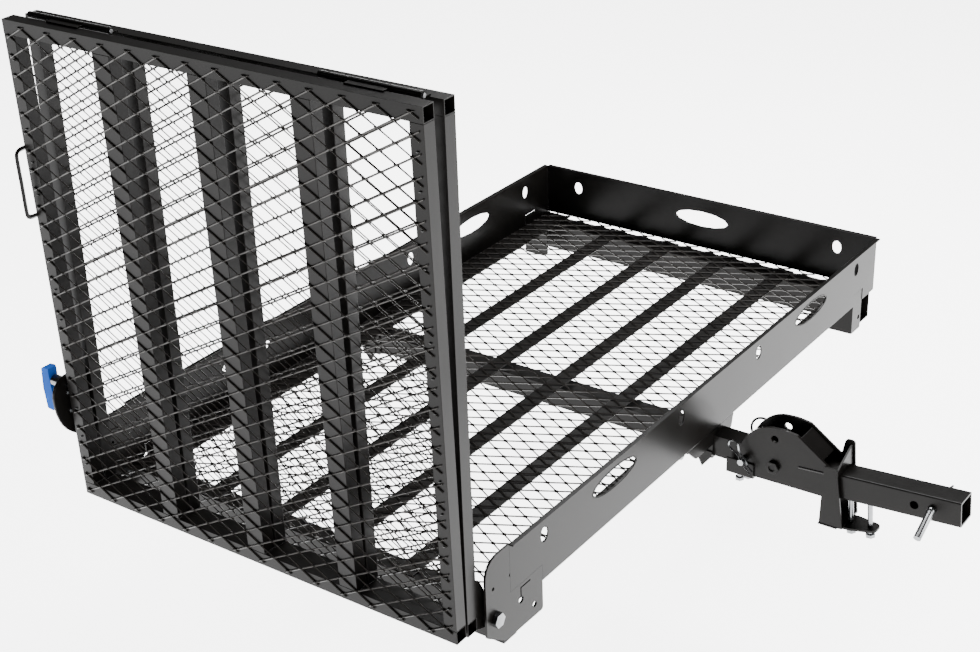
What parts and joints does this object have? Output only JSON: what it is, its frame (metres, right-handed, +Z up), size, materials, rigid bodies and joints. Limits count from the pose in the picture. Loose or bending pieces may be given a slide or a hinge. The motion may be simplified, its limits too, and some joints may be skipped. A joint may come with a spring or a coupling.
{
  "type": "hitch cargo carrier",
  "caption": "Tilting hitch-mounted cargo tray with an expanded-metal floor, raised rails and a two-panel folding mesh ramp held upright by a pull latch.",
  "frame": {"origin": "on the shank's axis, at the centre of its outer pin hole", "axes": "+X towards the towing vehicle, +Y from the ramp towards the tray's end wall, +Z up, tray level"},
  "size_m": [1.4468, 1.6196, 1.0724],
  "materials": {
    "powder_coat": "satin black powder coat",
    "expanded_metal": "satin black powder coat over expanded steel",
    "zinc_plate": "bright zinc plate",
    "bare_steel": "plain steel",
    "blue_grip": "moulded blue plastic"
  },
  "bodies": {
    "hitch": {"shank": "powder_coat", "tilt_cheek_ramp_side": "powder_coat", "tilt_cheek_wall_side": "powder_coat", "cheek_stiffener": "powder_coat", "pivot_bolt": "powder_coat", "u_clamp": "powder_coat", "jack_bolt_1": "zinc_plate", "jack_bolt_2": "zinc_plate", "anti_rattle_yoke": "powder_coat", "clamp_plate": "powder_coat", "clamp_bolt_1": "zinc_plate", "clamp_bolt_2": "zinc_plate"},
    "tray": {"rail_vehicle_side": "powder_coat", "rail_free_side": "powder_coat", "end_wall": "powder_coat", "end_plate_vehicle_side": "powder_coat", "end_plate_free_side": "powder_coat", "rear_foot_vehicle_side": "powder_coat", "rear_foot_free_side": "powder_coat", "rear_cross_tube": "powder_coat", "front_cross_tube": "powder_coat", "deck_bar_1": "powder_coat", "deck_bar_2": "powder_coat", "deck_bar_3": "powder_coat", "deck_bar_4": "powder_coat", "deck_mesh": "expanded_metal", "hitch_beam": "powder_coat", "saddle_vehicle_side": "powder_coat", "saddle_free_side": "powder_coat", "ramp_pivot_bolt_vehicle_side": "zinc_plate", "ramp_pivot_bolt_free_side": "zinc_plate", "latch_arm": "powder_coat", "latch_housing": "zinc_plate", "latch_spring": "bare_steel"},
    "inner_ramp": {"inner_ramp_foot": "powder_coat", "inner_ramp_head": "powder_coat", "inner_ramp_side_vehicle_side": "powder_coat", "inner_ramp_side_free_side": "powder_coat", "inner_ramp_bar_1": "powder_coat", "inner_ramp_bar_2": "powder_coat", "inner_ramp_bar_3": "powder_coat", "inner_ramp_mesh": "expanded_metal", "ramp_hinge_pin_1": "bare_steel", "ramp_hinge_pin_2": "bare_steel"},
    "outer_ramp": {"outer_ramp_foot": "powder_coat", "outer_ramp_head": "powder_coat", "outer_ramp_side_vehicle_side": "powder_coat", "outer_ramp_side_free_side": "powder_coat", "outer_ramp_bar_1": "powder_coat", "outer_ramp_bar_2": "powder_coat", "outer_ramp_bar_3": "powder_coat", "outer_ramp_mesh": "expanded_metal", "grab_handle": "powder_coat"},
    "latch": {"latch_plunger": "zinc_plate", "latch_handle": "blue_grip"},
    "lock_pin": {"lock_pin": "zinc_plate", "lock_pin_clip": "zinc_plate", "lock_pin_ring": "powder_coat"},
    "hitch_pin": {"hitch_pin": "zinc_plate", "hitch_pin_clip": "zinc_plate"}
  },
  "joints": [
    {"name": "carrier_tilt", "type": "hinge", "parent": "hitch", "child": "tray", "pos_m": [-0.3155, 0, -0.008], "axis": [0, 1, 0], "range_deg": [0, 90]},
    {"name": "ramp_fold", "type": "hinge", "parent": "tray", "child": "inner_ramp", "pos_m": [-0.8895, -0.765, 0.0345], "axis": [1, 0, 0], "range_deg": [0, 105]},
    {"name": "ramp_unfold", "type": "hinge", "parent": "inner_ramp", "child": "outer_ramp", "pos_m": [-0.8895, -0.8375, 0.9465], "axis": [-1, 0, 0], "range_deg": [0, 178]},
    {"name": "latch_pull", "type": "slide", "parent": "tray", "child": "latch", "axis": [-1, 0, 0], "range_m": [0, 0.012], "stiffness_N_per_m": 600, "springref_m": -0.004, "deforming": ["latch_spring"]},
    {"name": "lock_pin_play", "type": "slide", "parent": "hitch", "child": "lock_pin", "axis": [0, 1, 0], "range_m": [0, 0.006]},
    {"name": "hitch_pin_play", "type": "slide", "parent": "hitch", "child": "hitch_pin", "axis": [0, -1, 0], "range_m": [0, 0.008]}
  ]
}
